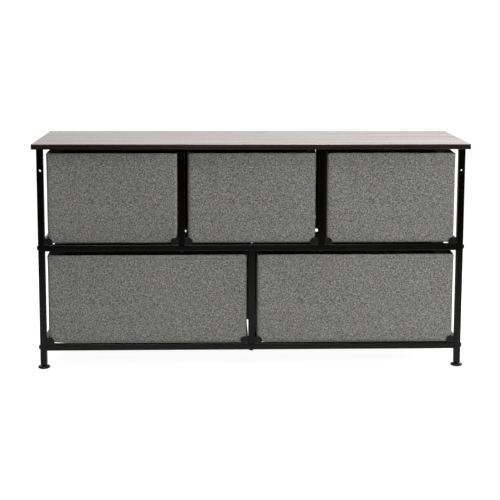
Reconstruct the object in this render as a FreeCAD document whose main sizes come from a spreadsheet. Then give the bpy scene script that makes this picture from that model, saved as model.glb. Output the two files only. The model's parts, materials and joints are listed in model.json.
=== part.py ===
"""Low fabric drawer dresser: a board top on a bolted square-tube frame, with three drawers over two.

Millimetres, +Z up. The origin is on the floor under the centre of the top board, +X runs along the
dresser and the drawers open towards +Y, so the front is at +Y and the rear at -Y. Left is -X.
"""

import FreeCAD
import Part
import Sketcher
import os
import re

DRIVING_SIZES = [
    ("overall_height", 525.0),
    ("panel_width", 1000.0),
    ("panel_depth", 300.0),
    ("panel_thickness", 12.0),
    ("panel_arris", 0.8),
    ("side_overhang", 10.0),
    ("face_overhang", 8.0),
    ("tube_size", 15.0),
    ("tube_wall", 1.0),
    ("tube_corner", 2.2),
    ("lower_rail_height", 42.0),
    ("bolt_hole_diameter", 6.5),
    ("strap_hole_diameter", 6.5),
    ("strap_hole_drop", 50.0),
    ("plate_length", 26.0),
    ("plate_thickness", 2.0),
    ("plate_corner", 4.0),
    ("plate_hole_diameter", 4.5),
    ("plate_hole_reach", 17.0),
    ("runner_width", 17.0),
    ("runner_flange", 3.0),
    ("runner_web", 2.0),
    ("runner_web_height", 13.0),
    ("runner_root", 1.5),
    ("runner_setback", 1.0),
    ("runner_lead_in", 5.0),
    ("stop_height", 15.5),
    ("stop_thickness", 3.5),
    ("stop_corner", 4.5),
    ("stop_boss_diameter", 7.0),
    ("stop_boss_height", 1.0),
    ("stop_rib", 2.0),
    ("upper_headroom", 11.4),
    ("lower_headroom", 9.0),
    ("upper_drawer_clearance", 7.6),
    ("lower_drawer_clearance", 5.8),
    ("drawer_wall", 4.0),
    ("drawer_floor", 2.4),
    ("drawer_corner", 4.0),
    ("seat_gap", 0.3),
    ("stop_gap", 0.5),
    ("base_board_thickness", 3.0),
    ("base_board_clearance", 1.0),
    ("base_board_corner", 3.0),
    ("tab_width", 32.0),
    ("tab_length", 62.0),
    ("tab_thickness", 3.6),
    ("tab_drop", 14.0),
    ("tab_corner", 5.0),
    ("foot_disc_diameter", 28.0),
    ("foot_disc_thickness", 5.0),
    ("foot_collar_width", 12.0),
    ("foot_collar_height", 2.0),
    ("foot_stud_diameter", 6.0),
    ("foot_stud_length", 30.0),
    ("foot_exposed_thread", 2.0),
    ("foot_insert_length", 18.0),
    ("foot_insert_clearance", 0.1),
    ("foot_thread_clearance", 0.2),
]

DERIVED_SIZES = [
    ("frame_top", "overall_height - panel_thickness"),
    ("post_x", "panel_width / 2 - side_overhang - tube_size / 2"),
    ("post_y", "panel_depth / 2 - face_overhang - tube_size / 2"),
    ("inner_x", "post_x - tube_size / 2"),
    ("inner_y", "post_y - tube_size / 2"),
    ("frame_face_y", "post_y + tube_size / 2"),
    ("foot_collar_top", "foot_disc_thickness + foot_collar_height"),
    ("post_bottom", "foot_collar_top + foot_exposed_thread"),
    ("post_length", "frame_top - post_bottom"),
    ("tube_bore", "tube_size - 2 * tube_wall"),
    ("lower_rail_top", "lower_rail_height + tube_size"),
    ("lower_drawer_z", "lower_rail_top + runner_flange + seat_gap"),
    ("rows_headroom", "upper_headroom + lower_headroom + 2 * (runner_flange + seat_gap)"),
    ("drawer_height", "(frame_top - lower_rail_top - tube_size - rows_headroom) / 2"),
    ("middle_rail_height", "lower_drawer_z + drawer_height + lower_headroom"),
    ("middle_rail_top", "middle_rail_height + tube_size"),
    ("upper_drawer_z", "middle_rail_top + runner_flange + seat_gap"),
    ("upper_bay", "(2 * inner_x - 2 * tube_size) / 3"),
    ("lower_bay", "(2 * inner_x - tube_size) / 2"),
    ("upper_divider_x", "(upper_bay + tube_size) / 2"),
    ("side_bay_x", "upper_bay + tube_size"),
    ("lower_bay_x", "(lower_bay + tube_size) / 2"),
    ("upper_divider_length", "frame_top - middle_rail_top"),
    ("lower_divider_length", "middle_rail_height - lower_rail_top"),
    ("runner_length", "2 * (frame_face_y - runner_setback)"),
    ("stop_face_y", "-frame_face_y + runner_setback + stop_thickness"),
    ("drawer_rear_y", "stop_face_y + stop_gap"),
    ("drawer_depth", "frame_face_y - drawer_rear_y"),
    ("drawer_y", "(frame_face_y + drawer_rear_y) / 2"),
    ("upper_drawer_width", "upper_bay - 2 * upper_drawer_clearance"),
    ("lower_drawer_width", "lower_bay - 2 * lower_drawer_clearance"),
]

# Turns of a piece that is drawn along its own Z axis.
UPRIGHT = FreeCAD.Rotation()
ALONG_X = FreeCAD.Rotation(FreeCAD.Vector(0, 1, 0), 90)
ALONG_Y = FreeCAD.Rotation(FreeCAD.Vector(1, 0, 0), -90)
TO_REAR = FreeCAD.Rotation(FreeCAD.Vector(1, 0, 0), 90)
HALF_TURN = FreeCAD.Rotation(FreeCAD.Vector(0, 0, 1), 180)

SIDES = {"left": "-", "right": ""}
ENDS = {"rear": "-", "front": ""}
LEVELS = ("lower", "middle")

# Each drawer's bay: its middle along X, and the row that it is in.
BAYS = {
    "upper_left": ("-side_bay_x", "upper"),
    "upper_middle": ("0", "upper"),
    "upper_right": ("side_bay_x", "upper"),
    "lower_left": ("-lower_bay_x", "lower"),
    "lower_right": ("lower_bay_x", "lower"),
}
RAIL_TOP = {"upper": "middle_rail_top", "lower": "lower_rail_top"}

doc = FreeCAD.newDocument("FabricDrawerDresser")
SHEET_OF = {}


def make_sheet(name, cells):
    """Fills a spreadsheet with one aliased cell for each size."""
    sheet = doc.addObject("Spreadsheet::Sheet", name)
    for row, (alias, content) in enumerate(cells, start=1):
        sheet.set(f"A{row}", alias)
        sheet.set(f"B{row}", content)
        sheet.setAlias(f"B{row}", alias)
    return sheet


def formula(text):
    """Turns plain size names into references to the sheets that hold them."""

    def reference(word):
        name = word.group()
        return f"{SHEET_OF[name]}.{name}" if name in SHEET_OF else name

    return re.sub(r"[a-z_]+", reference, text)


def make_sheets():
    SHEET_OF.update({alias: "Dimensions" for alias, _ in DRIVING_SIZES})
    SHEET_OF.update({alias: "Layout" for alias, _ in DERIVED_SIZES})
    dimensions = make_sheet("Dimensions", [(alias, str(size)) for alias, size in DRIVING_SIZES])
    make_sheet("Layout", [(alias, "=" + formula(text)) for alias, text in DERIVED_SIZES])
    doc.recompute()
    return dimensions


dimensions = make_sheets()


def value(text):
    """Number that a formula of size names gives now."""
    return float(dimensions.evalExpression(formula(text)))


def bind(item, path, text):
    item.setExpression(path, formula(text))


def place(item, x, y, z, rotation=UPRIGHT):
    """Puts an object at a point given by three formulas."""
    item.Placement = FreeCAD.Placement(FreeCAD.Vector(value(x), value(y), value(z)), rotation)
    for axis, text in zip("xyz", (x, y, z)):
        bind(item, f"Placement.Base.{axis}", text)
    return item


def new_body(label):
    body = doc.addObject("PartDesign::Body", label)
    body.Label = label
    return body


def new_sketch(body, role, offset="0"):
    """Sketch on one of the body's own origin planes, moved along its normal."""
    plane = next(item for item in body.Origin.OriginFeatures if item.Role == role)
    sketch = body.newObject("Sketcher::SketchObject", body.Label + "_sketch")
    sketch.AttachmentSupport = [(plane, "")]
    sketch.MapMode = "FlatFace"
    sketch.AttachmentOffset = FreeCAD.Placement(FreeCAD.Vector(0, 0, value(offset)), UPRIGHT)
    bind(sketch, "AttachmentOffset.Base.z", offset)
    return sketch


def pin_point(sketch, geometry, point, x, y):
    """Holds a point of the sketch at two formulas, measured from the sketch's origin."""
    for kind, text in (("DistanceX", x), ("DistanceY", y)):
        index = sketch.addConstraint(
            Sketcher.Constraint(kind, -1, 1, geometry, point, value(text))
        )
        bind(sketch, f"Constraints[{index}]", text)


def draw_circle(sketch, x, y, diameter):
    centre = FreeCAD.Vector(value(x), value(y), 0)
    circle = Part.Circle(centre, FreeCAD.Vector(0, 0, 1), value(diameter) / 2)
    geometry = sketch.addGeometry(circle)
    pin_point(sketch, geometry, 3, x, y)
    index = sketch.addConstraint(Sketcher.Constraint("Diameter", geometry, value(diameter)))
    bind(sketch, f"Constraints[{index}]", diameter)


def draw_outline(sketch, corners):
    """Closed outline of straight lines, each corner held by its two formulas."""
    points = [FreeCAD.Vector(value(x), value(y), 0) for x, y in corners]
    lines = [
        sketch.addGeometry(Part.LineSegment(start, end))
        for start, end in zip(points, points[1:] + points[:1])
    ]
    for line, following in zip(lines, lines[1:] + lines[:1]):
        sketch.addConstraint(Sketcher.Constraint("Coincident", line, 2, following, 1))
    for line, (x, y) in zip(lines, corners):
        pin_point(sketch, line, 1, x, y)


def draw_rectangle(sketch, width, height, x="0", y="0"):
    left, right = f"({x}) - ({width}) / 2", f"({x}) + ({width}) / 2"
    low, high = f"({y}) - ({height}) / 2", f"({y}) + ({height}) / 2"
    draw_outline(sketch, [(left, low), (right, low), (right, high), (left, high)])


def add_pad(body, sketch, length, backwards=False):
    pad = body.newObject("PartDesign::Pad", body.Label + "_pad")
    pad.Profile = sketch
    bind(pad, "Length", length)
    pad.Reversed = backwards
    doc.recompute()
    return pad


def add_pocket(body, sketch, depth=None, backwards=False):
    """Cuts to a depth, or right through both ways when no depth is given."""
    before = body.Shape.Volume
    pocket = body.newObject("PartDesign::Pocket", body.Label + "_pocket")
    pocket.Profile = sketch
    pocket.Reversed = backwards
    if depth is None:
        pocket.Type = "ThroughAll"
        pocket.SideType = "Symmetric"
    else:
        bind(pocket, "Length", depth)
    doc.recompute()
    if not body.Shape.Volume < before:
        raise RuntimeError(f"{body.Label}: {pocket.Name} cut nothing")
    return pocket


def add_fillet(body, base, edges, radius, kind="Fillet"):
    """Rounds or chamfers the named edges of the base."""
    dress = body.newObject(f"PartDesign::{kind}", f"{body.Label}_{kind.lower()}")
    dress.Base = (base, edges)
    bind(dress, "Radius" if kind == "Fillet" else "Size", radius)
    doc.recompute()
    return dress


def edges_where(feature, test):
    """Names of the straight or round edges whose middle point and direction pass a test."""
    names = []
    for number, edge in enumerate(feature.Shape.Edges, start=1):
        middle = edge.valueAt((edge.FirstParameter + edge.LastParameter) / 2)
        direction = edge.tangentAt((edge.FirstParameter + edge.LastParameter) / 2)
        if test(edge, middle, direction):
            names.append(f"Edge{number}")
    return names


def upright_edges(feature):
    return edges_where(feature, lambda edge, middle, direction: abs(direction.z) > 0.99)


def level_edges(feature, height):
    """Edges that lie at one height."""
    level = value(height)
    return edges_where(
        feature,
        lambda edge, middle, direction: abs(middle.z - level) < 0.01 and abs(direction.z) < 0.01,
    )


def make_tube(label, length):
    """Square tube with rounded corners along Z, its axis on the body's own Z axis."""
    body = new_body(label)
    outside = new_sketch(body, "XY_Plane")
    draw_rectangle(outside, "tube_size", "tube_size")
    bar = add_pad(body, outside, length)
    add_fillet(body, bar, upright_edges(bar), "tube_corner")
    inside = new_sketch(body, "XY_Plane")
    draw_rectangle(inside, "tube_bore", "tube_bore")
    add_pocket(body, inside)
    return body


def drill_tube(body, across, positions, diameter):
    """Holes right through both walls; across names the tube's own axis that they follow."""
    role = {"x": "YZ_Plane", "y": "XZ_Plane"}[across]
    sketch = new_sketch(body, role)
    for position in positions:
        draw_circle(sketch, "0", position, diameter)
    add_pocket(body, sketch)


def make_foot_insert(label):
    """Square plug for the bottom of a post, bored for the foot's stud."""
    body = new_body(label)
    sketch = new_sketch(body, "XY_Plane")
    side = "tube_bore - 2 * foot_insert_clearance"
    draw_rectangle(sketch, side, side)
    add_pad(body, sketch, "foot_insert_length")
    hole = new_sketch(body, "XY_Plane")
    draw_circle(hole, "0", "0", "foot_stud_diameter + 2 * foot_thread_clearance")
    add_pocket(body, hole)
    return body


def make_top_plate(label):
    """Small plate welded inside a tube's top, under the board: it runs along +Y to its screw hole."""
    body = new_body(label)
    sketch = new_sketch(body, "XY_Plane")
    draw_rectangle(sketch, "tube_size", "plate_length", "0", "plate_length / 2")
    plate = add_pad(body, sketch, "plate_thickness", backwards=True)
    far_corners = edges_where(
        plate,
        lambda edge, middle, direction: abs(direction.z) > 0.99 and middle.y > 1,
    )
    add_fillet(body, plate, far_corners, "plate_corner", kind="Chamfer")
    hole = new_sketch(body, "XY_Plane")
    draw_circle(hole, "0", "plate_hole_reach", "plate_hole_diameter")
    add_pocket(body, hole)
    return body


def make_group(label, master, spots):
    """One node of identical separate pieces, each a link to the master at its own spot."""
    links = []
    for x, y, z, rotation in spots:
        link = doc.addObject("App::Link", label + "_copy")
        link.LinkedObject = master
        links.append(place(link, x, y, z, rotation))
    group = doc.addObject("Part::Compound", label)
    group.Label = label
    group.Links = links
    return group


def make_top_panel():
    """Board top with a fine arris on its upper edges and corners."""
    body = new_body("top_panel")
    outline = new_sketch(body, "XY_Plane")
    draw_rectangle(outline, "panel_width", "panel_depth")
    board = add_pad(body, outline, "panel_thickness")
    edges = upright_edges(board) + level_edges(board, "panel_thickness")
    add_fillet(body, board, edges, "panel_arris", kind="Chamfer")
    return place(body, "0", "0", "frame_top")


def make_posts():
    """Four corner posts, drilled for the rail bolts; the rear ones also for a wall strap."""
    rail_bolts = [f"{level}_rail_height + tube_size / 2 - post_bottom" for level in LEVELS]
    posts = []
    for end, y_sign in ENDS.items():
        for side, x_sign in SIDES.items():
            post = make_tube(f"post_{end}_{side}", "post_length")
            drill_tube(post, "x", rail_bolts, "bolt_hole_diameter")
            if end == "rear":
                drill_tube(post, "y", ["post_length - strap_hole_drop"], "strap_hole_diameter")
            posts.append(place(post, f"{x_sign}post_x", f"{y_sign}post_y", "post_bottom"))
    return posts


def make_rails():
    """Long rails between the posts, at the rear and the front of each level."""
    rails = []
    for end, y_sign in ENDS.items():
        for level in LEVELS:
            rail = make_tube(f"rail_{end}_{level}", "2 * inner_x")
            height = f"{level}_rail_height + tube_size / 2"
            rails.append(place(rail, "-inner_x", f"{y_sign}post_y", height, ALONG_X))
    return rails


def make_side_rails():
    """Short tubes that join each side's two posts."""
    rails = []
    for level in LEVELS:
        for side, x_sign in SIDES.items():
            rail = make_tube(f"side_rail_{level}_{side}", "2 * inner_y")
            height = f"{level}_rail_height + tube_size / 2"
            rails.append(place(rail, f"{x_sign}post_x", "-inner_y", height, ALONG_Y))
    return rails


def make_dividers():
    """Upright tubes between the bays, at the rear and the front."""
    dividers = []
    for end, y_sign in ENDS.items():
        for side, x_sign in SIDES.items():
            tube = make_tube(f"divider_upper_{end}_{side}", "upper_divider_length")
            spot = (f"{x_sign}upper_divider_x", f"{y_sign}post_y", "middle_rail_top")
            dividers.append(place(tube, *spot))
        tube = make_tube(f"divider_lower_{end}", "lower_divider_length")
        dividers.append(place(tube, "0", f"{y_sign}post_y", "lower_rail_top"))
    return dividers


def make_left_runner(label):
    """Moulded angle that carries a drawer's left edge, with a bossed stop at its rear end.

    It is drawn from its front end: X from the tube that it lies against towards the drawer,
    Y up from the rail, and Z along it towards the rear.
    """
    body = new_body(label)
    profile = new_sketch(body, "XY_Plane")
    draw_outline(
        profile,
        [
            ("0", "0"),
            ("runner_width", "0"),
            ("runner_width", "runner_flange"),
            ("runner_web", "runner_flange"),
            ("runner_web", "runner_web_height"),
            ("0", "runner_web_height"),
        ],
    )
    angle = add_pad(body, profile, "runner_length")
    root_x, root_y = value("runner_web"), value("runner_flange")
    root = edges_where(
        angle,
        lambda edge, middle, direction: abs(direction.z) > 0.99
        and abs(middle.x - root_x) < 0.01
        and abs(middle.y - root_y) < 0.01,
    )
    filled = add_fillet(body, angle, root, "runner_root", kind="Chamfer")
    web_top = value("runner_web_height")
    lead_in = edges_where(
        filled,
        lambda edge, middle, direction: abs(direction.x) > 0.99
        and abs(middle.y - web_top) < 0.01
        and abs(middle.z) < 0.01,
    )
    add_fillet(body, filled, lead_in, "runner_lead_in", kind="Chamfer")
    stop_plate = new_sketch(body, "XY_Plane", "runner_length - stop_thickness")
    draw_outline(
        stop_plate,
        [
            ("0", "0"),
            ("runner_width", "0"),
            ("runner_width", "stop_height - stop_corner"),
            ("runner_width - stop_corner", "stop_height"),
            ("0", "stop_height"),
        ],
    )
    add_pad(body, stop_plate, "stop_thickness")
    boss = new_sketch(body, "XY_Plane", "runner_length")
    boss_y = "(runner_flange + stop_height) / 2"
    draw_circle(boss, "runner_width / 2", boss_y, "stop_boss_diameter")
    add_pad(body, boss, "stop_boss_height")
    gusset = new_sketch(body, "XZ_Plane", "-runner_flange")
    start = "runner_length - stop_thickness"
    draw_outline(
        gusset,
        [
            ("runner_web", f"{start} - stop_rib"),
            ("runner_web + stop_rib", start),
            ("runner_web", start),
        ],
    )
    add_pad(body, gusset, "stop_height - runner_flange", backwards=True)
    return body


def make_runners():
    """A left runner in each bay, and its mirror image across the middle of the bay."""
    runners = []
    for bay, (middle, row) in BAYS.items():
        left = make_left_runner(f"runner_{bay}_a")
        front_end = "frame_face_y - runner_setback"
        place(left, f"{middle} - {row}_bay / 2", front_end, RAIL_TOP[row], TO_REAR)
        right = doc.addObject("Part::Mirroring", f"runner_{bay}_b")
        right.Label = f"runner_{bay}_b"
        right.Source = left
        right.Normal = FreeCAD.Vector(1, 0, 0)
        bind(right, "Base.x", middle)
        runners += [left, right]
    return runners


def make_drawer_shell(bay):
    """Open fabric box with blunted upright corners, its floor's underside on the body's XY plane."""
    width = f"{BAYS[bay][1]}_drawer_width"
    body = new_body(f"drawer_{bay}_shell")
    outline = new_sketch(body, "XY_Plane")
    draw_rectangle(outline, width, "drawer_depth")
    block = add_pad(body, outline, "drawer_height")
    add_fillet(body, block, upright_edges(block), "drawer_corner", kind="Chamfer")
    inside = new_sketch(body, "XY_Plane", "drawer_floor")
    draw_rectangle(inside, f"{width} - 2 * drawer_wall", "drawer_depth - 2 * drawer_wall")
    add_pocket(body, inside, "drawer_height - drawer_floor", backwards=True)
    return body


def make_base_board(bay):
    """Loose stiff board on the drawer's floor, with its corners cut off."""
    body = new_body(f"drawer_{bay}_base_board")
    margin = "2 * (drawer_wall + base_board_clearance)"
    outline = new_sketch(body, "XY_Plane")
    draw_rectangle(outline, f"{BAYS[bay][1]}_drawer_width - {margin}", f"drawer_depth - {margin}")
    board = add_pad(body, outline, "base_board_thickness")
    add_fillet(body, board, upright_edges(board), "base_board_corner", kind="Chamfer")
    return body


def make_pull_tab(bay):
    """Folded strap sewn to the drawer's front, hanging flat against it."""
    body = new_body(f"drawer_{bay}_pull_tab")
    outline = new_sketch(body, "XY_Plane")
    draw_rectangle(outline, "tab_width", "tab_thickness", "0", "tab_thickness / 2")
    strap = add_pad(body, outline, "tab_length")
    low_corners = edges_where(
        strap,
        lambda edge, middle, direction: abs(direction.y) > 0.99 and abs(middle.z) < 0.01,
    )
    add_fillet(body, strap, low_corners, "tab_corner", kind="Chamfer")
    return body


def make_drawers():
    """Five drawers: shell, base board and pull tab."""
    pieces = []
    for bay, (middle, row) in BAYS.items():
        floor = f"{row}_drawer_z"
        pieces += [
            place(make_drawer_shell(bay), middle, "drawer_y", floor),
            place(make_base_board(bay), middle, "drawer_y", f"{floor} + drawer_floor"),
            place(
                make_pull_tab(bay),
                middle,
                "frame_face_y",
                f"{floor} + drawer_height - tab_drop - tab_length",
            ),
        ]
    return pieces


def draw_hexagon(sketch, width):
    """Hexagon about the sketch's origin, with two corners on its horizontal axis."""
    corner, half = f"{width} / sqrt(3)", f"{width} / 2"
    draw_outline(
        sketch,
        [
            (corner, "0"),
            (f"{corner} / 2", half),
            (f"-{corner} / 2", half),
            (f"-{corner}", "0"),
            (f"-{corner} / 2", f"-{half}"),
            (f"{corner} / 2", f"-{half}"),
        ],
    )


def make_feet():
    """Levelling foot at each corner: a disc with a hexagon collar, and a stud up into the post."""
    feet = []
    for end, y_sign in ENDS.items():
        for side, x_sign in SIDES.items():
            body = new_body(f"levelling_foot_{end}_{side}")
            disc = new_sketch(body, "XY_Plane")
            draw_circle(disc, "0", "0", "foot_disc_diameter")
            add_pad(body, disc, "foot_disc_thickness")
            collar = new_sketch(body, "XY_Plane", "foot_disc_thickness")
            draw_hexagon(collar, "foot_collar_width")
            add_pad(body, collar, "foot_collar_height")
            stud = new_sketch(body, "XY_Plane", "foot_collar_top")
            draw_circle(stud, "0", "0", "foot_stud_diameter")
            add_pad(body, stud, "foot_stud_length")
            feet.append(place(body, f"{x_sign}post_x", f"{y_sign}post_y", "0"))
    return feet


def make_foot_inserts():
    insert = make_foot_insert("insert_master")
    spots = [
        (f"{x_sign}post_x", f"{y_sign}post_y", "post_bottom", UPRIGHT)
        for y_sign in ENDS.values()
        for x_sign in SIDES.values()
    ]
    return make_group("foot_inserts", insert, spots)


def make_top_plates():
    """A plate inside the top of every post and upper divider, each pointing to the middle."""
    plate = make_top_plate("plate_master")
    columns = ("-post_x", "-upper_divider_x", "upper_divider_x", "post_x")
    spots = [(x, "-inner_y", "frame_top", UPRIGHT) for x in columns]
    spots += [(x, "inner_y", "frame_top", HALF_TURN) for x in columns]
    return make_group("top_plates", plate, spots)


def check_document():
    for item in doc.Objects:
        if "Invalid" in item.State or "Error" in item.State:
            raise RuntimeError(f"{item.Label} failed: {item.State}")


def write_steps(sub_parts):
    """Checks every sub-part and writes each to the file that its label names."""
    for item in sub_parts:
        if item.Shape.isNull() or not item.Shape.isValid() or not item.Shape.Solids:
            raise RuntimeError(f"{item.Label} has no valid solid")
    os.makedirs("parts", exist_ok=True)
    for item in sub_parts:
        item.Shape.exportStep(f"parts/{item.Label}.step")
        print(f"{item.Label}: {len(item.Shape.Solids)} solid(s), {item.Shape.Volume:.0f} mm3")
    print(f"{len(sub_parts)} nodes")


def main():
    sub_parts = [make_top_panel()]
    sub_parts += make_posts() + make_rails() + make_side_rails() + make_dividers()
    sub_parts += make_runners() + make_drawers() + make_feet()
    sub_parts += [make_foot_inserts(), make_top_plates()]
    doc.recompute()
    check_document()
    write_steps(sub_parts)


main()
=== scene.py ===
"""Looks of the five-drawer fabric dresser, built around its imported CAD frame.

The steel frame, runners and top board are the CAD nodes with finished materials. The fabric drawers,
their base boards and pull tabs, the levelling feet and the small fasteners are modelled here and stand
where the CAD says. X runs to the right, +Y to the side that the drawers open to, Z up; all lengths are
in metres. The camera stands at -Y, so near is the side at -Y and far the side at +Y.
"""

import bisect
import json
import math

import bpy
from mathutils import Matrix, Vector, noise


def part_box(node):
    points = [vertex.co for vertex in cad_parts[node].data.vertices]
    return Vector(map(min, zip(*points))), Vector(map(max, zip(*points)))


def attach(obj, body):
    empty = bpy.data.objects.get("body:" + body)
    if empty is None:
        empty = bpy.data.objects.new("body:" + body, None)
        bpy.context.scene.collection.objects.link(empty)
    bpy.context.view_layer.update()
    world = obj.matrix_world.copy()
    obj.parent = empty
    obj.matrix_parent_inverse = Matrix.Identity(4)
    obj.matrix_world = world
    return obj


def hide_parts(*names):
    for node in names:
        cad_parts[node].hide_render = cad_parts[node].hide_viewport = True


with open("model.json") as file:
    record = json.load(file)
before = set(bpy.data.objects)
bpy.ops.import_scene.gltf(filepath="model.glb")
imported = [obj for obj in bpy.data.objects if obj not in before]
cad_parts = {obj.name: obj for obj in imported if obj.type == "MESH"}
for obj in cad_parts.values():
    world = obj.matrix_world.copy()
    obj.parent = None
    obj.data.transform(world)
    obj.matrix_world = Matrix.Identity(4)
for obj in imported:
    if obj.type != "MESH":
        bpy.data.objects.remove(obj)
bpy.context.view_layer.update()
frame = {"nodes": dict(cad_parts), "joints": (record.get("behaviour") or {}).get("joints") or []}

MM = 0.001

# Camera, fitted to the photograph: turns in radians, lens and sensor in millimetres. A larger shift
# would come closer to the photograph, but would push the object out of the frame in other views.
CAMERA_PLACE = (-0.0781, -2.6623, 0.8124)
CAMERA_YAW, CAMERA_PITCH, CAMERA_ROLL = 0.0292, -0.128, 0.0025
CAMERA_LENS, SENSOR_WIDTH = 80.3, 36.0
CAMERA_SHIFT = -0.18

# Surroundings as a light: the way to their bright side, how bright they are there and on the dark side,
# and the cosine of the angle to that way where they start to get brighter.
BACKDROP_SIDE = (0.62, 0.75, 0.22)
BACKDROP, DARK_SIDE = 1.75, 0.02
BACKDROP_EDGE = 0.15

# Floor: its radius, how far it lies below the feet's reach, and where it fades into the surroundings.
FLOOR_RADIUS = 6.0
FLOOR_GAP = 0.5 * MM
FADE_START, FADE_END = 0.75, 1.9

BAYS = ("upper_left", "upper_middle", "upper_right", "lower_left", "lower_right")
ENDS = {"rear": -1, "front": 1}
SIDES = {"left": -1, "right": 1}

# Drawer shells: the cloth's walls, folds and hem, and the size and number of steps of their mesh.
WALL = 4 * MM
EDGE_RADIUS = 6 * MM
LEAST_RADIUS = 0.4 * MM
FLOOR_FOLD = 4.5 * MM
FLOOR_THICKNESS = 2.4 * MM
INNER_FOLD = 2 * MM
HEM = 13 * MM
HEM_BULGE = 0.3 * MM
# How far the cloth stands out beside the hem's seam, at heights from it.
SEAM = ((0.0, -1.6 * MM), (-0.5 * MM, 0.0), (0.2 * MM, 1.6 * MM), (HEM_BULGE, 6 * MM))
CELL = 7.5 * MM
CORNER_STEPS, FOLD_STEPS, RIM_STEPS, BOARD_EDGE_STEPS = 3, 3, 6, 6
BOARD_CROWN = 0.5 * MM

# How each drawer's cloth strays outwards from its flat panels, in millimetres: at the near end, middle
# and far end of its left and right sides, and at the left, middle and right of its near and far sides.
STRAYS = {
    "upper_left": ((0.0, 5.0, 2.0), (5.0, 6.0, 5.5), (-5.0, -3.5, -8.0), (0.0, 1.2, 0.0)),
    "upper_middle": ((0.5, 5.0, 4.0), (1.3, 5.5, 5.0), (0.3, 1.5, 0.3), (0.0, 1.4, 0.0)),
    "upper_right": ((3.5, 6.0, 6.2), (-0.8, 4.5, 2.0), (-2.0, 0.5, -2.0), (0.0, 1.0, 0.0)),
    "lower_left": ((0.8, 4.2, 2.0), (2.6, 4.5, 3.0), (0.0, 1.5, -1.0), (0.0, 1.6, 0.0)),
    "lower_right": ((0.8, 4.5, 3.0), (0.5, 4.2, 2.0), (-1.0, 1.5, 0.0), (0.0, 1.3, 0.0)),
}
# Waves and finer creases of the cloth: how many to a metre across and up, and how deep in millimetres.
WAVES, WAVES_UP, WAVE_DEPTH = 14, 11, 1.3
CREASES, CREASES_UP, CREASE_DEPTH = 38, 26, 0.5
# How far apart the drawers lie in the noise that shapes them.
NEXT_DRAWER = 3.7
# How far a side may stray beside its runner's web, the height where it starts to get free of that, and
# over how much more height it does, in millimetres.
SNUG = {"upper": 4.6, "lower": 2.8}
WEB_CLEAR = 12 * MM
FREED = {"upper": 16, "lower": 32}
# Height where a side starts to stray, and the heights over which the sides and the ends come to it.
SIDE_START, SIDE_RISE, END_RISE = -4 * MM, 9 * MM, 40 * MM
# How far a floor sags between its runners, how much of that the fold at its edge takes part in, and how
# far from its left and right runner it is fully sagged, in millimetres.
SAG = 3.0 * MM
FOLD_DROP = {"upper": 0.0, "lower": 0.62}
SLACK = {"upper_left": (16, 6), "upper_middle": (6, 6), "upper_right": (6, 24)}
SLACK |= {"lower_left": (32, 6), "lower_right": (8, 6)}
# Where the sag starts beside a runner and behind the fold, and how far behind the fold it is full.
RUNNER_REACH, FOLD_REACH, FOLD_SLACK = 8 * MM, 2 * MM, 9 * MM
# Half width of the floor that rests on the bolt head in the middle of the middle rails.
BOLT_REST = 11 * MM
# How much higher than its panel each row's rim stands, and from which share of the height it does.
RIM_LIFT = {"upper": 1.6 * MM, "lower": -0.6 * MM}
RIM_START = 0.7
RIM_SLUMP, RIM_WAVE = 0.7 * MM, 0.5 * MM
# How deep and how far from a corner the rim dips, at every corner and at the far one that gapes: the
# right one where it says 1, the left one where it says -1.
CORNER_DIP, CORNER_REACH = 2.6 * MM, 9 * MM
GAPE_DIP, GAPE_REACH = 15 * MM, 5 * MM
GAPING = {"upper_middle": 1, "upper_right": 1, "lower_left": -1, "lower_right": 1}

# Stitches: radius of the thread and its share at their ends, how far their ends lie off the cloth and
# how much farther their middle does, in millimetres, their pitch, and the shares of it that each spans.
THREAD, THREAD_TIP = 0.32 * MM, 0.45
STITCH_LIFT, STITCH_ARCH = 0.15, 0.35
HEM_STITCH, HEM_SPAN = 3.6 * MM, (0.12, 0.88)
TAB_STITCH, TAB_SPAN = 2.6 * MM, (0.14, 0.86)

# Pull tabs: length of the sewn part and how far it stands out, how much farther the loop does, the
# strap's half thickness, and where the stitched box lies in the strap.
TAB_SEWN, TAB_SEWN_STAND = 16 * MM, 0.44
TAB_LOOP = 3.5 * MM
STRAP_HALF = 0.55 * MM
BOX_SIDE, BOX_TOP, BOX_BOTTOM = 3 * MM, 2.5 * MM, 15 * MM
# Upper half of the strap's cross-section, in shares of its half width and half thickness.
STRAP_UPPER = ((-1, 0.0), (-0.985, 0.8), (-0.93, 1.0), (-0.5, 1.05))
STRAP_UPPER += ((0, 1.05), (0.5, 1.05), (0.93, 1.0), (0.985, 0.8))

# Levelling feet: thickness and rounding of the glide, its crown inside its edge, and the stud.
GLIDE, GLIDE_ROUNDING, GLIDE_STEPS = 5 * MM, 2.2 * MM, 5
CROWN_INSET, CROWN_RISE = 4.5 * MM, 0.25 * MM
STUD_RADIUS, STUD_CHAMFER = 2.6 * MM, 0.5 * MM
# M6 thread of the stud: how far it starts above the floor and stops below the stud's end, its radii
# and pitch, the parts of a turn and the number of them that it fades out over.
SCREW_START, SCREW_STOP = 7.1 * MM, 1.5 * MM
SCREW_ROOT, SCREW_CREST, SCREW_PITCH = 2.5 * MM, 3.0 * MM, 1.0 * MM
SCREW_PARTS, SCREW_FADE = 24, 6
# Half heights of the thread's ridge at its root and its crest, in shares of its pitch.
RIDGE_ROOT, RIDGE_CREST = 0.42, 0.08

# Hexagon collar with its chamfer and root of the stud, as outline, radius and height above the floor,
# in millimetres.
FOOT_COLLAR = (
    ("round", 7.4, 5.3),
    ("hex", 6.93, 5.3),
    ("hex", 6.93, 6.6),
    ("hex", 6.4, 7.0),
    ("round", 3.4, 7.0),
    ("round", 2.6, 7.0),
)
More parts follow.
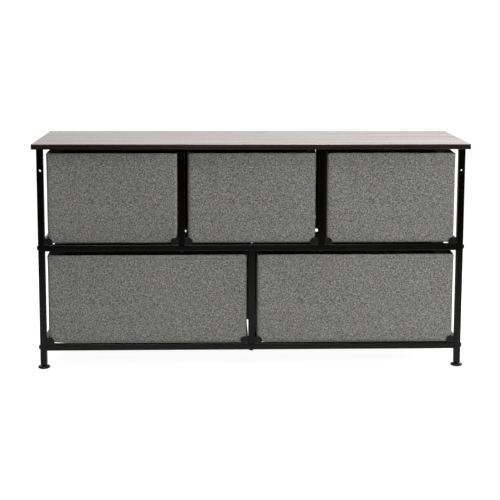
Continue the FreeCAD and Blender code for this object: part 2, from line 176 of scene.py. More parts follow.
# Heads of the screws, written the same way; height 0 is the face that a head sits on.
PAN_HEAD = (
    ("round", 2.4, -0.3),
    ("round", 4.0, 0.0),
    ("round", 4.0, 1.32),
    ("round", 3.6, 1.936),
    ("round", 2.88, 2.2),
    ("cross", 2.4, 2.2),
    ("cross", 1.8, 0.88),
    ("cross", 0.4, 0.66),
)
FLUSH_HEAD = (
    ("round", 1.7, -1.6),
    ("round", 3.4, -0.1),
    ("round", 3.23, 0.05),
    ("round", 2.38, 0.08),
    ("cross", 2.04, 0.05),
    ("cross", 1.36, -1.0),
    ("cross", 0.34, -1.1),
)
# Domed head of the frame's bolts: its radius, rim and hexagon socket, and how far its dome turns.
BOLT_RADIUS, BOLT_RIM, BOLT_SOCKET = 5.5 * MM, 0.5 * MM, 2.3 * MM
DOME_STEPS, DOME_TURN, DOME_NARROWING = 5, 0.86 * math.pi / 2, 0.72
# Where the CAD has the screws: in from a plate's outer edge, off the middle and above the bottom of a
# runner, and as a share of the way from a runner's middle to the rail's.
PLATE_HOLE_REACH = 17 * MM
RUNNER_SCREW_OFFSET, RUNNER_FLANGE, RUNNER_SCREW_SHARE = 2.5 * MM, 3 * MM, 0.955
HEAD_SEGMENTS, FOOT_SEGMENTS = 24, 48
SHARP_ANGLE = 35


# ---- node helpers


class NodeTree:
    """Short ways to add and join the nodes of a material or of the surroundings."""

    def __init__(self, tree):
        self.tree = tree

    def add(self, kind, inputs=None, **settings):
        """A node with its settings; inputs are values, nodes or (node, output) pairs."""
        node = self.tree.nodes.new(kind)
        for name, setting in settings.items():
            setattr(node, name, setting)
        for key, source in (inputs or {}).items():
            self.join(source, node, key)
        return node

    def join(self, source, node, key):
        """Sets a node's input to a value, or links it to a node's first or named output."""
        if isinstance(source, tuple) and hasattr(source[0], "outputs"):
            self.tree.links.new(source[0].outputs[source[1]], node.inputs[key])
        elif hasattr(source, "outputs"):
            self.tree.links.new(source.outputs[0], node.inputs[key])
        else:
            node.inputs[key].default_value = source

    def noise(self, vector, scale, detail, roughness):
        """Noise from 0 to 1, with that many patches to a unit."""
        inputs = {"Vector": vector, "Scale": scale, "Detail": detail, "Roughness": roughness}
        return self.add("ShaderNodeTexNoise", inputs)

    def ramp(self, factor, low, high, start=0.3, end=0.7):
        """A colour between low and high as factor goes from start to end."""
        node = self.add("ShaderNodeValToRGB", {"Fac": factor})
        first, last = node.color_ramp.elements
        first.position, last.position = start, end
        first.color, last.color = (*low, 1), (*high, 1)
        return node

    def spread(self, value, low, high, from_low=0.0, from_high=1.0, **settings):
        """A number moved from one range to another, low to high, and kept in it."""
        inputs = {"Value": value, "From Min": from_low, "From Max": from_high}
        inputs |= {"To Min": low, "To Max": high}
        return self.add("ShaderNodeMapRange", inputs, **settings)

    def math(self, operation, first, second=0.0):
        """The result of an operation on one or two numbers."""
        return self.add("ShaderNodeMath", {0: first, 1: second}, operation=operation)

    def mix(self, factor, first, second, blend="MIX"):
        """A mixed colour. The node's inputs 0, 6 and 7 are its factor and its two colours."""
        inputs = {0: factor, 6: first, 7: second}
        return (self.add("ShaderNodeMix", inputs, data_type="RGBA", blend_type=blend), 2)

    def bump(self, height, strength, distance, normal=None):
        """A surface normal raised by height, on top of another normal where one is given."""
        inputs = {"Height": height, "Strength": strength, "Distance": distance}
        if normal:
            inputs["Normal"] = normal
        return self.add("ShaderNodeBump", inputs)


class Material(NodeTree):
    """A node material with its Principled shader; a space in a socket's name is written as _."""

    def __init__(self, name, **sockets):
        self.data = bpy.data.materials.new(name)
        self.data.use_nodes = True
        super().__init__(self.data.node_tree)
        self.shader = self.tree.nodes["Principled BSDF"]
        self.finish(**sockets)

    def coordinates(self, kind="Object"):
        """The piece's own coordinates in metres, or another kind, such as UV or Normal."""
        return (self.add("ShaderNodeTexCoord"), kind)

    def finish(self, **sources):
        """Sets or links sockets of the shader, and gives the material."""
        for socket, source in sources.items():
            self.join(source, self.shader, socket.replace("_", " "))
        return self.data


# ---- materials


def grey(level):
    """A neutral colour."""
    return (level, level, level)


def cloth_grey(level):
    """The slightly warm grey of the cloth."""
    return (level * 1.003, level, level * 0.95)


def weave(cloth, place, yarn):
    """Shade and height of a plain weave: every yarn has its own lighter and darker slubs."""
    slub, next_yarn = 5.5 * MM, 3.737
    split = cloth.add("ShaderNodeSeparateXYZ", {0: place})
    shades, ridges = [], []
    for along, across in (("X", "Y"), ("Y", "X")):
        count = cloth.math("DIVIDE", (split, across), yarn)
        number = cloth.math("MULTIPLY", cloth.math("FLOOR", count), next_yarn)
        length = cloth.math("DIVIDE", (split, along), slub)
        spot = cloth.add("ShaderNodeCombineXYZ", {0: length, 1: number})
        shades.append(cloth.noise(spot, scale=1.0, detail=1.0, roughness=0.5))
        ridges.append(cloth.math("PINGPONG", count, 0.5))
    over = cloth.add("ShaderNodeTexChecker", {"Vector": place, "Scale": 1 / yarn})
    return cloth.mix((over, "Fac"), *shades), cloth.math("MULTIPLY", *ridges)


def woven_fabric(name, level, contrast=0.65, yarn=1.2 * MM):
    """Heathered grey cloth with fine fibres and barely uneven patches."""
    cloth = Material(
        name, Roughness=0.92, Specular_IOR_Level=0.2, Sheen_Weight=0.15, Sheen_Roughness=0.6
    )
    place = cloth.coordinates("UV")
    shade, ridges = weave(cloth, place, yarn)
    dark, light = cloth_grey(level * (1 - contrast)), cloth_grey(level * (1 + contrast))
    heather = cloth.ramp(shade, dark, light, start=0.34, end=0.66)
    melange = cloth.noise(place, scale=330.0, detail=1.0, roughness=0.5)
    fibres = cloth.spread(melange, 0.64, 1.36, from_low=0.36, from_high=0.64)
    patches = cloth.noise(place, scale=9.0, detail=2.0, roughness=0.5)
    uneven = cloth.spread(patches, 0.96, 1.04, from_low=0.3, from_high=0.7)
    fibrous = cloth.mix(1.0, heather, fibres, "MULTIPLY")
    colour = cloth.mix(1.0, fibrous, uneven, "MULTIPLY")
    yarns = cloth.bump(ridges, strength=0.6, distance=0.8 * MM)
    slubs = cloth.bump(shade, strength=0.3, distance=0.4 * MM, normal=yarns)
    return cloth.finish(Base_Color=colour, Normal=slubs)


def grain_layers(board, facing):
    """Figure, streaks and pores of wood that run along X, and along Y on the end faces."""
    place = board.add("ShaderNodeSeparateXYZ", {0: board.coordinates()})
    on_end = board.spread(board.math("ABSOLUTE", (facing, "X")), 0.0, 1.0, from_low=0.5, from_high=0.9)
    along = board.mix(on_end, (place, "X"), (place, "Y"))
    across = board.mix(on_end, (place, "Y"), (place, "X"))
    spot = board.add("ShaderNodeCombineXYZ", {0: along, 1: across, 2: (place, "Z")})
    layers = []
    for stretch, detail, roughness in (
        ((1.1, 38, 38), 8.0, 0.62),
        ((2.5, 160, 160), 4.0, 0.6),
        ((9, 420, 420), 3.0, 0.7),
    ):
        drawn = board.add("ShaderNodeMapping", {"Vector": spot, "Scale": stretch})
        layers.append(board.noise(drawn, 1.0, detail, roughness))
    return layers


def wood_foil(name):
    """Brown wood-effect foil with a low sheen, its own dark colour on the edges and painted light on
    top.
    """
    board = Material(name, IOR=1.5, Coat_Weight=0.35, Coat_Roughness=0.2)
    facing = board.add("ShaderNodeSeparateXYZ", {0: board.coordinates("Normal")})
    figure, streaks, pores = grain_layers(board, facing)
    grain = board.math("ADD", figure, board.math("MULTIPLY", streaks, 0.7))
    # Painted light: faces that look up take this lighter copy of the foil, as if lit from above; the
    # edges keep its own dark colour.
    foil = board.ramp(grain, (0.036, 0.021, 0.0185), (0.128, 0.083, 0.0745), start=0.66, end=1.0)
    dark_edge_foil = board.ramp(grain, (0.012, 0.007, 0.0068), (0.03, 0.0185, 0.018), start=0.66, end=1.0)
    upward = board.spread((facing, "Z"), 0.0, 1.0, from_low=0.5, from_high=0.9)
    dark_pores = board.spread(pores, 0.72, 1.1, from_low=0.35, from_high=0.6)
    return board.finish(
        Base_Color=board.mix(1.0, board.mix(upward, dark_edge_foil, foil), dark_pores, "MULTIPLY"),
        Roughness=board.spread(grain, 0.16, 0.48, from_low=0.66, from_high=1.02),
        Normal=board.bump(grain, strength=0.12, distance=0.2 * MM),
    )


def powder_coat(name):
    """Black semi-gloss powder coat with its fine orange peel."""
    paint = Material(name, IOR=1.5, Specular_IOR_Level=0.165)
    place = paint.coordinates()
    peel = paint.noise(place, scale=900.0, detail=2.0, roughness=0.5)
    cloud = paint.noise(place, scale=14.0, detail=3.0, roughness=0.5)
    return paint.finish(
        Base_Color=paint.ramp(cloud, (0.0012, 0.0009, 0.0007), (0.0020, 0.0015, 0.0012)),
        Roughness=paint.spread(cloud, 0.16, 0.22, from_low=0.3, from_high=0.7),
        Normal=paint.bump(peel, strength=0.25, distance=0.08 * MM),
    )


def moulded_plastic(name, level, roughness, radius=0.0):
    """Black injection-moulded plastic with a spark-eroded grain; edges rounded by radius."""
    plastic = Material(name, IOR=1.46, Specular_IOR_Level=0.22)
    place = plastic.coordinates()
    grain = plastic.noise(place, scale=1500.0, detail=1.0, roughness=0.5)
    cloud = plastic.noise(place, scale=30.0, detail=2.0, roughness=0.5)
    rounded = plastic.add("ShaderNodeBevel", {"Radius": radius}, samples=4) if radius else None
    smooth, rough = roughness - 0.05, roughness + 0.05
    return plastic.finish(
        Base_Color=plastic.ramp(cloud, grey(level * 0.85), grey(level * 1.15)),
        Roughness=plastic.spread(cloud, smooth, rough, from_low=0.3, from_high=0.7),
        Normal=plastic.bump(grain, strength=0.2, distance=0.04 * MM, normal=rounded),
    )


def plated_steel(name, level):
    """Blackened or zinc-plated steel of screws, with fine scratches."""
    steel = Material(name, Metallic=1.0)
    scratches = steel.noise(steel.coordinates(), scale=700.0, detail=3.0, roughness=0.6)
    return steel.finish(
        Base_Color=steel.ramp(scratches, grey(level * 0.8), grey(level * 1.2)),
        Roughness=steel.spread(scratches, 0.25, 0.45, from_low=0.3, from_high=0.7),
    )


# ---- mesh helpers


class Form:
    """Points and faces of a piece, and a pair of cloth coordinates for each corner of cloth."""

    def __init__(self):
        self.points, self.faces, self.uvs = [], [], []


def add_piece(name, form, body, material):
    """A smooth mesh piece of a form, riding on a body."""
    mesh = bpy.data.meshes.new(name)
    mesh.from_pydata([tuple(point) for point in form.points], [], form.faces)
    if form.uvs:
        layer = mesh.uv_layers.new(name="Cloth")
        for polygon, corners in zip(mesh.polygons, form.uvs, strict=True):
            for loop, uv in zip(polygon.loop_indices, corners, strict=True):
                layer.data[loop].uv = uv
    mesh.shade_smooth()
    mesh.materials.append(material)
    piece = bpy.data.objects.new(name, mesh)
    bpy.context.scene.collection.objects.link(piece)
    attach(piece, body)
    return piece


def soften(piece):
    """Keeps sharp edges sharp and shades the rest smooth."""
    bpy.context.view_layer.objects.active = piece
    piece.select_set(True)
    bpy.ops.object.shade_smooth_by_angle(angle=math.radians(SHARP_ANGLE))
    piece.select_set(False)


def lengths_along(line):
    """How far along a line each of its points lies."""
    lengths = [0.0]
    for first, last in zip(line[:-1], line[1:], strict=True):
        lengths.append(lengths[-1] + (Vector(last) - Vector(first)).length)
    return lengths


def point_at(line, lengths, share):
    """The point that lies a share of the way along a line; lengths is how far each point lies."""
    travel = share * lengths[-1]
    k = bisect.bisect_right(lengths, travel) - 1
    part = (travel - lengths[k]) / (lengths[k + 1] - lengths[k])
    return line[k].lerp(line[k + 1], part)


def smooth_path(points, steps=5):
    """A Catmull-Rom line through points."""
    ends = [points[0], *points, points[-1]]
    line = []
    for i in range(1, len(ends) - 2):
        a, b, c, d = (Vector(p) for p in ends[i - 1 : i + 3])
        for k in range(steps):
            t = k / steps
            point = 2 * b + (c - a) * t
            point += (2 * a - 5 * b + 4 * c - d) * t * t
            point += (3 * b - a - 3 * c + d) * t**3
            line.append(0.5 * point)
    line.append(Vector(points[-1]))
    return line


def outline_radius(shape, radius, angle):
    """Distance from the middle of a round, six-sided or cross-shaped outline at an angle."""
    if shape == "hex":
        turn = angle % (math.pi / 3) - math.pi / 6
        return radius * math.cos(math.pi / 6) / math.cos(turn)
    if shape == "cross":
        return radius * (0.62 + 0.38 * math.cos(4 * angle))
    return radius


class Turned(Form):
    """Closed bodies built from rings of points: turned parts, threads and stitches."""

    def __init__(self, segments):
        super().__init__()
        self.angles = [2 * math.pi * k / segments for k in range(segments)]

    def sweep(self, rings, clockwise=False):
        """Joins rings of points into a closed body; clockwise is as seen from the last ring."""
        start, count = len(self.points), len(rings[0])
        last = start + (len(rings) - 1) * count
        for low in range(start, last, count):
            for k in range(count):
                n = (k + 1) % count
                beside, above = low + n, low + count + k
                if clockwise:
                    beside, above = above, beside
                self.faces.append([low + k, beside, low + count + n, above])
        ends = [start + k for k in range(count)], [last + k for k in range(count)]
        ends[clockwise].reverse()
        self.faces += ends
        for ring in rings:
            self.points += ring

    def stack(self, rows, place, axis="z"):
        """Adds the rows (shape, radius, height) at a place, pointing along axis, such as -x."""
        towards = Vector([float(axis[-1] == letter) for letter in "xyz"])
        if axis.startswith("-"):
            towards = -towards
        turn = towards.to_track_quat("Z", "X" if axis[-1] != "x" else "Y")
        rings = []
        for shape, radius, height in rows:
            ring = []
            for angle in self.angles:
                far = outline_radius(shape, radius, angle)
                point = Vector((far * math.cos(angle), far * math.sin(angle), height))
                ring.append(turn @ point + Vector(place))
            rings.append(ring)
        self.sweep(rings)


# ---- cloth


def side_steps(length):
    """Places along one side of a rounded ring, as (straight part, turn) pairs.

    A side runs from the middle of one corner to the middle of the next: part of a turn,
    the straight, and part of the next turn.
    """
    straight = max(2, round((length - 2 * EDGE_RADIUS) / CELL))
    steps = [(0.0, -1 + k / CORNER_STEPS) for k in range(CORNER_STEPS)]
    steps += [(k / straight, 0.0) for k in range(straight)]
    steps += [(1.0, k / CORNER_STEPS) for k in range(CORNER_STEPS)]
    return steps


class Outline:
    """Rounded rectangle that the rows of points round a drawer or its base board follow."""

    def __init__(self, half_x, half_y):
        self.half_x, self.half_y = half_x, half_y
        self.steps_x, self.steps_y = side_steps(2 * half_x), side_steps(2 * half_y)

    def ring(self, inset=0.0):
        """Points anticlockwise from the middle of the lower left corner."""
        radius = max(EDGE_RADIUS - inset, LEAST_RADIUS)
        hx, hy = self.half_x - inset, self.half_y - inset
        points = []
        for out in (Vector((0, -1)), Vector((1, 0)), Vector((0, 1)), Vector((-1, 0))):
            along = Vector((-out.y, out.x))
            reach, depth, steps = (hy, hx, self.steps_y) if out.x else (hx, hy, self.steps_x)
            for straight, turn in steps:
                offset = (reach - radius) * (2 * straight - 1)
                angle = turn * math.pi / 4
                centre = along * offset + out * (depth - radius)
                points.append(centre + radius * (out * math.cos(angle) + along * math.sin(angle)))
        return points


class Cloth(Form):
    """Points and faces of one cloth piece, with the cloth's own flat coordinates."""

    def row(self, points):
        """Adds points and gives their numbers."""
        start = len(self.points)
        self.points += points
        return list(range(start, start + len(points)))

    def rings(self, outline, profile):
        """A closed row of points for each (inset, height) pair of a profile."""
        rows = []
        for inset, z in profile:
            rows.append(self.row([Vector((p.x, p.y, z)) for p in outline.ring(inset)]))
        return rows

    def face(self, corners, uvs):
        """Adds a face and the flat coordinates of its corners."""
        self.faces.append(corners)
        self.uvs.append(uvs)

    def skin(self, rows, flat):
        """Faces between closed rows; flat gives point k of row i its flat coordinates."""
        for i in range(len(rows) - 1):
            count = len(rows[i])
            for k in range(count):
                n = (k + 1) % count
                corners = [rows[i][k], rows[i][n], rows[i + 1][n], rows[i + 1][k]]
                self.face(corners, [flat(i, k), flat(i, k + 1), flat(i + 1, k + 1), flat(i + 1, k)])

    def patch(self, ring, outline, upward):
        """Fills a row of points round an outline with a grid that faces up or down."""
        grid = self.grid(ring, len(outline.steps_x), len(outline.steps_y))
        for first, second in zip(grid[:-1], grid[1:], strict=True):
            for j in range(len(first) - 1):
                corners = [first[j], second[j], second[j + 1], first[j + 1]]
                if not upward:
                    corners.reverse()
                self.face(corners, [tuple(self.points[k].xy) for k in corners])

    def grid(self, ring, count_x, count_y):
        """Numbers of a grid of points spread evenly between those of a ring."""
        grid = [[None] * (count_y + 1) for _ in range(count_x + 1)]
        for i in range(count_x + 1):
            grid[i][0] = ring[i]
            grid[i][count_y] = ring[2 * count_x + count_y - i]
        for j in range(count_y + 1):
            grid[count_x][j] = ring[count_x + j]
            grid[0][j] = ring[-j]

        def edge(i, j):
            return self.points[grid[i][j]]

        for i in range(1, count_x):
            s = i / count_x
            for j in range(1, count_y):
                t = j / count_y
                across = edge(i, 0) * (1 - t) + edge(i, count_y) * t
                along = edge(0, j) * (1 - s) + edge(count_x, j) * s
                left = edge(0, 0) * (1 - t) + edge(0, count_y) * t
                right = edge(count_x, 0) * (1 - t) + edge(count_x, count_y) * t
                grid[i][j] = self.row([across + along - left * (1 - s) - right * s])[0]
        return grid


def box_form(node):
    """Outline and height of a CAD node's box, and the middle of its bottom."""
    low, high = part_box(node)
    outline = Outline((high.x - low.x) / 2, (high.y - low.y) / 2)
    centre = Vector(((low.x + high.x) / 2, (low.y + high.y) / 2, low.z))
    return outline, high.z - low.z, centre


def row_of(bay):
    """The row of drawers that a bay is in: upper or lower."""
    return bay.split("_")[0]


def ease(t):
    """Smooth step from 0 to 1."""
    t = max(0.0, min(1.0, t))
    return t * t * (3 - 2 * t)


def between(values, t):
    """A smooth line through three values, at t = -1, 0 and 1."""
    first, middle, last = values
    return first * (t * t - t) / 2 + middle * (1 - t * t) + last * (t * t + t) / 2


# In the functions below, u runs from -1 at a drawer's left side to 1 at its right one, and v from -1 at
# its near side to 1 at its far one.


def on_walls(u, v):
    """How fully a place lies on a left or right side, and on a near or far one."""
    return max(0.0, abs(u) ** 12 - abs(v) ** 12), max(0.0, abs(v) ** 12 - abs(u) ** 12)


def bulge(bay, u, v, z, ripple):
    """How far a drawer's cloth stands out along X and along Y at height z, in millimetres."""
    row = row_of(bay)
    left, right, near, far = STRAYS[bay]
    on_side, on_end = on_walls(u, v)
    free = ease((z - WEB_CLEAR) / (FREED[row] * MM))
    wide = between(right if u > 0 else left, v)
    snug = min(wide, SNUG[row])
    low = ease((z - SIDE_START) / SIDE_RISE)
    out_x = (snug * low + (wide - snug) * free) * abs(u) ** 3
    out_y = between(far if v > 0 else near, u) * abs(v) ** 3 * ease(z / END_RISE)
    return out_x + ripple * on_side * free, out_y + ripple * on_end * free


def rim_lift(bay, u, v, corner, wave):
    """How much higher than its panel a drawer's rim stands; corner is the way to the next corner."""
    lift = RIM_LIFT[row_of(bay)]
    lift -= CORNER_DIP * max(0.0, 1 - corner / CORNER_REACH) ** 2
    lift -= RIM_SLUMP * (1 - max(u**4, v**4)) * sum(on_walls(u, v)) + RIM_WAVE * wave
    if v > 0 and u * GAPING.get(bay, 0) > 0:
        lift -= GAPE_DIP * max(0.0, 1 - corner / GAPE_REACH)
    return lift


def floor_sag(bay, point, outline):
    """How far a drawer's floor hangs down between its runners and the folds at its edges."""
    reach = SLACK[bay][point.x > 0] * MM
    at_fold = FOLD_DROP[row_of(bay)]
    from_runner = outline.half_x - abs(point.x) - RUNNER_REACH
    from_fold = outline.half_y - abs(point.y) - FOLD_REACH
    sag = SAG * ease(from_runner / reach) * (at_fold + (1 - at_fold) * ease(from_fold / FOLD_SLACK))
    if bay == "upper_middle":
        sag *= 1 - math.exp(-((point.x / BOLT_REST) ** 2))
    return sag


def stray(bay, point, outline, height):
    """How far the cloth of a drawer strays from its flat panels at a point, as a vector."""
    x, y, z = point
    u, v = max(-1, min(1, x / outline.half_x)), max(-1, min(1, y / outline.half_y))
    rise = max(0, min(1, z / height))
    seed = NEXT_DRAWER * BAYS.index(bay)
    wave = noise.noise(Vector((x * WAVES + seed, y * WAVES, z * WAVES_UP)))
    crease = noise.noise(Vector((x * CREASES, y * CREASES + seed, z * CREASES_UP)))
    out_x, out_y = bulge(bay, u, v, z, WAVE_DEPTH * wave + CREASE_DEPTH * crease)
    corner = math.hypot(outline.half_x - abs(x), outline.half_y - abs(y))
    up = rim_lift(bay, u, v, corner, wave) * max(0.0, (rise - RIM_START) / (1 - RIM_START))
    up -= floor_sag(bay, point, outline) * (1 - rise) ** 4
    return Vector((math.copysign(out_x * MM, u), math.copysign(out_y * MM, v), up))


# ---- drawers


def wall_profile(height):
    """(inset, height) pairs from under the drawer, up its outside, over the rim and down inside."""
    turns = [k / FOLD_STEPS * math.pi / 2 for k in range(FOLD_STEPS + 1)]
    profile = [(FLOOR_FOLD * (1 - math.sin(t)), FLOOR_FOLD * (1 - math.cos(t))) for t in turns]
    seam = height - HEM
    rows = round((seam - FLOOR_FOLD) / CELL)
    profile += [(0.0, FLOOR_FOLD + (seam - FLOOR_FOLD) * k / rows) for k in range(1, rows)]
    profile += [(-out, seam + rise) for out, rise in SEAM]
    half = WALL / 2 + HEM_BULGE
    turns = [k / RIM_STEPS * math.pi for k in range(RIM_STEPS + 1)]
    profile += [(WALL / 2 - half * math.cos(t), height - half + half * math.sin(t)) for t in turns]
    profile += [(WALL + out, seam + rise) for out, rise in reversed(SEAM)]
    low = FLOOR_THICKNESS + INNER_FOLD
    profile += [(WALL, seam - (seam - low) * k / rows) for k in range(1, rows + 1)]
    profile.append((WALL + 0.3 * INNER_FOLD, FLOOR_THICKNESS + 0.3 * INNER_FOLD))
    profile.append((WALL + INNER_FOLD, FLOOR_THICKNESS))
    return profile


def make_shell(bay, material, thread):
    """Soft fabric bin of one drawer: skins of cloth over stiff panels, hemmed round its rim."""
    outline, height, centre = box_form(f"drawer_{bay}_shell")
    profile = wall_profile(height)
    cloth = Cloth()
    rows = cloth.rings(outline, profile)
    ring = outline.ring()
    around, up = lengths_along([*ring, ring[0]]), lengths_along(profile)
    cloth.skin(rows, lambda i, k: (around[k], up[i]))
    cloth.patch(rows[0], outline, upward=False)
    cloth.patch(rows[-1], outline, upward=True)
    cloth.points = [p + stray(bay, p, outline, height) + centre for p in cloth.points]
    shell = add_piece(f"fabric_drawer_{bay}", cloth, f"drawer_{bay}", material)
    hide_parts(f"drawer_{bay}_shell")
    seams = [row for row, (_, z) in zip(rows, profile, strict=True) if z == height - HEM]
    lines = [[cloth.points[k] for k in row] for row in seams]
    make_hem_stitches(bay, lines, thread)


def make_base_board(bay, material):
    """Stiff board wrapped in cloth, with soft edges, loose on a drawer's floor."""
    outline, thick, centre = box_form(f"drawer_{bay}_base_board")
    half = thick / 2
    turns = [-math.pi / 2 + k / BOARD_EDGE_STEPS * math.pi for k in range(BOARD_EDGE_STEPS + 1)]
    cloth = Cloth()
    profile = [(half * (1 - math.cos(t)), half + half * math.sin(t)) for t in turns]
    rows = cloth.rings(outline, profile)
    cloth.skin(rows, lambda i, k: tuple(cloth.points[rows[i][k % len(rows[i])]].xy))
    cloth.patch(rows[0], outline, upward=False)
    cloth.patch(rows[-1], outline, upward=True)
    for point in cloth.points:
        u, v = min(1, abs(point.x) / outline.half_x), min(1, abs(point.y) / outline.half_y)
        if point.z > half:
            point.z += BOARD_CROWN * (1 - u**4) * (1 - v**4)
        point += centre
    board = add_piece(f"covered_base_board_{bay}", cloth, f"drawer_{bay}", material)
    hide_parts(f"drawer_{bay}_base_board")


def tab_path(length, stand):
    """(out, up) points of a folded strap from its sewn top, down its front and up its back."""
    front = [(0.42, 0.0), (TAB_SEWN_STAND, TAB_SEWN / 2), (0.5, TAB_SEWN)]
    front += [(0.78, 0.45 * length), (1.0, 0.72 * length)]
    fold = [(0.98, 0.9 * length), (0.72, 0.985 * length), (0.46, 0.99 * length), (0.26, 0.92 * length)]
    back = [(0.16, 0.7 * length), (0.14, 0.4 * length), (0.14, TAB_SEWN), (0.14, 0.0)]
    return [(stand * out, -down) for out, down in front + fold + back]


def strap_rings(line, top, half):
    """Rings of points round a strap that follows a line of (out, up) points from its sewn top."""
    section = [*STRAP_UPPER, *((-across, -depth) for across, depth in STRAP_UPPER)]
    centre_x, front_y, top_z = top
    rings = []
    for k, point in enumerate(line):
        ahead = line[min(k + 1, len(line) - 1)] - line[max(k - 1, 0)]
        normal = Vector((-ahead.y, ahead.x)).normalized()
        ring = []
        for across, depth in section:
            spot = point - normal * depth * STRAP_HALF
            ring.append(Vector((centre_x + across * half, front_y + spot.x, top_z + spot.y)))
        rings.append(ring)
    return rings


def make_pull_tab(bay, material, thread):
    """Strap folded into a loop and sewn to the drawer's front with a stitched box."""
    low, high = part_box(f"drawer_{bay}_pull_tab")
    half, centre_x = (high.x - low.x) / 2, (low.x + high.x) / 2
    outline, height, centre = box_form(f"drawer_{bay}_shell")
    sewn = Vector((0.0, outline.half_y, high.z - centre.z))
    front_y = low.y + stray(bay, sewn, outline, height).y
    stand = high.y - low.y + TAB_LOOP
    line = smooth_path(tab_path(high.z - low.z, stand))
    lengths = lengths_along(line)
    cloth = Cloth()
    rows = [cloth.row(ring) for ring in strap_rings(line, (centre_x, front_y, high.z), half)]
    cloth.skin(rows, lambda i, k: (cloth.points[rows[i][k % len(rows[i])]].x, lengths[i]))
    for end in (rows[0][::-1], rows[-1]):
        cloth.face(end, [(0.0, 0.0)] * len(end))
    tab = add_piece(f"folded_pull_tab_{bay}", cloth, f"drawer_{bay}", material)
    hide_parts(f"drawer_{bay}_pull_tab")
    face = (centre_x, front_y + stand * TAB_SEWN_STAND, high.z)
    make_tab_stitches(bay, face, half, thread)


# ---- stitches


def make_hem_stitches(bay, lines, thread):
    """Rows of stitches that hold the hem, round a drawer's outside and its inside."""
    stitches = Turned(4)
    for line, facing in zip(lines, (1, -1), strict=True):
        loop = [*line, line[0]]
        lengths = lengths_along(loop)
        count = round(lengths[-1] / HEM_STITCH)
        for k in range(count):
            first, last = (point_at(loop, lengths, (k + share) / count) for share in HEM_SPAN)
            out = Vector((last.y - first.y, first.x - last.x, 0)).normalized() * facing
            add_stitch(stitches, first, last, out, steps=3)
    return add_piece(f"hem_stitches_{bay}", stitches, f"drawer_{bay}", thread)


def make_tab_stitches(bay, top, half, thread):
    """Raised stitches of the box and cross that hold a pull tab, below the middle of its sewn top."""
    x, y, z = top
    left, right = x - half + BOX_SIDE, x + half - BOX_SIDE
    upper, lower = z - BOX_TOP, z - BOX_BOTTOM
    corners = [Vector((left, y, upper)), Vector((right, y, upper))]
    corners += [Vector((right, y, lower)), Vector((left, y, lower))]
    runs = [(corners[k], corners[(k + 1) % 4]) for k in range(4)]
    runs += [(corners[0], corners[2]), (corners[1], corners[3])]
    stitches = Turned(6)
    for start, end in runs:
        count = round((end - start).length / TAB_STITCH)
        for k in range(count):
            first, last = (start.lerp(end, (k + share) / count) for share in TAB_SPAN)
            add_stitch(stitches, first, last, Vector((0, 1, 0)), steps=4)
    return add_piece(f"tab_stitches_{bay}", stitches, f"drawer_{bay}", thread)


def add_stitch(stitches, first, last, out, steps):
    """One small raised thread between two points on cloth that faces out."""
    side = (last - first).normalized().cross(out)
    rings = []
    for i in range(steps + 1):
        arch = math.sin(math.pi * i / steps)
        spot = first.lerp(last, i / steps) + out * (STITCH_LIFT + STITCH_ARCH * arch) * MM
        thick = THREAD * (THREAD_TIP + (1 - THREAD_TIP) * arch)
        rings.append([spot + thick * (side * math.cos(a) + out * math.sin(a)) for a in stitches.angles])
    stitches.sweep(rings, clockwise=True)


# ---- feet


def glide_rows(radius):
    """Rows of the foot's round glide, with its edges rounded and its top crowned."""
    turns = [k / GLIDE_STEPS * math.pi / 2 for k in range(GLIDE_STEPS + 1)]
    steps = [(GLIDE_ROUNDING * (1 - math.sin(t)), GLIDE_ROUNDING * (1 - math.cos(t))) for t in turns]
    rows = [("round", radius - narrow, rise) for narrow, rise in steps]
    rows += [("round", radius - narrow, GLIDE - drop) for drop, narrow in steps]
    return rows + [("round", radius - CROWN_INSET, GLIDE + CROWN_RISE)]


def make_foot(end, side, material):
    """Levelling foot: rounded glide, hexagon collar and a threaded stud."""
    node = f"levelling_foot_{end}_{side}"
    low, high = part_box(node)
    centre = ((low.x + high.x) / 2, (low.y + high.y) / 2, low.z)
    height = high.z - low.z
    rows = glide_rows((high.x - low.x) / 2) + in_metres(FOOT_COLLAR)
    rows.append(("round", STUD_RADIUS, height - STUD_CHAMFER))
    rows.append(("round", STUD_RADIUS - STUD_CHAMFER, height))
    foot = Turned(FOOT_SEGMENTS)
    foot.stack(rows, centre)
    foot.sweep(screw_thread(Vector(centre), SCREW_START, height - SCREW_STOP), clockwise=True)
    piece = add_piece(f"glide_foot_{end}_{side}", foot, node, material)
    soften(piece)
    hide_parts(node)


def in_metres(rows):
    """Rows (shape, radius, height) in metres, from rows in millimetres."""
    return [(shape, radius * MM, height * MM) for shape, radius, height in rows]


def screw_thread(centre, bottom, top):
    """Sections through the ridge of a thread wound round a stud; it fades out at both ends."""
    count = int((top - bottom) / SCREW_PITCH * SCREW_PARTS)
    rings = []
    for k in range(count + 1):
        angle = 2 * math.pi * k / SCREW_PARTS
        level = bottom + SCREW_PITCH * k / SCREW_PARTS
        depth = min(1.0, k / SCREW_FADE, (count - k) / SCREW_FADE)
        crest = SCREW_ROOT + (SCREW_CREST - SCREW_ROOT) * depth
        ring = []
        for far, rise in (
            (SCREW_ROOT, -RIDGE_ROOT),
            (crest, -RIDGE_CREST),
            (crest, RIDGE_CREST),
            (SCREW_ROOT, RIDGE_ROOT),
        ):
            z = level + rise * SCREW_PITCH
            ring.append(Vector((far * math.cos(angle), far * math.sin(angle), z)) + centre)
        rings.append(ring)
    return rings


# ---- fasteners


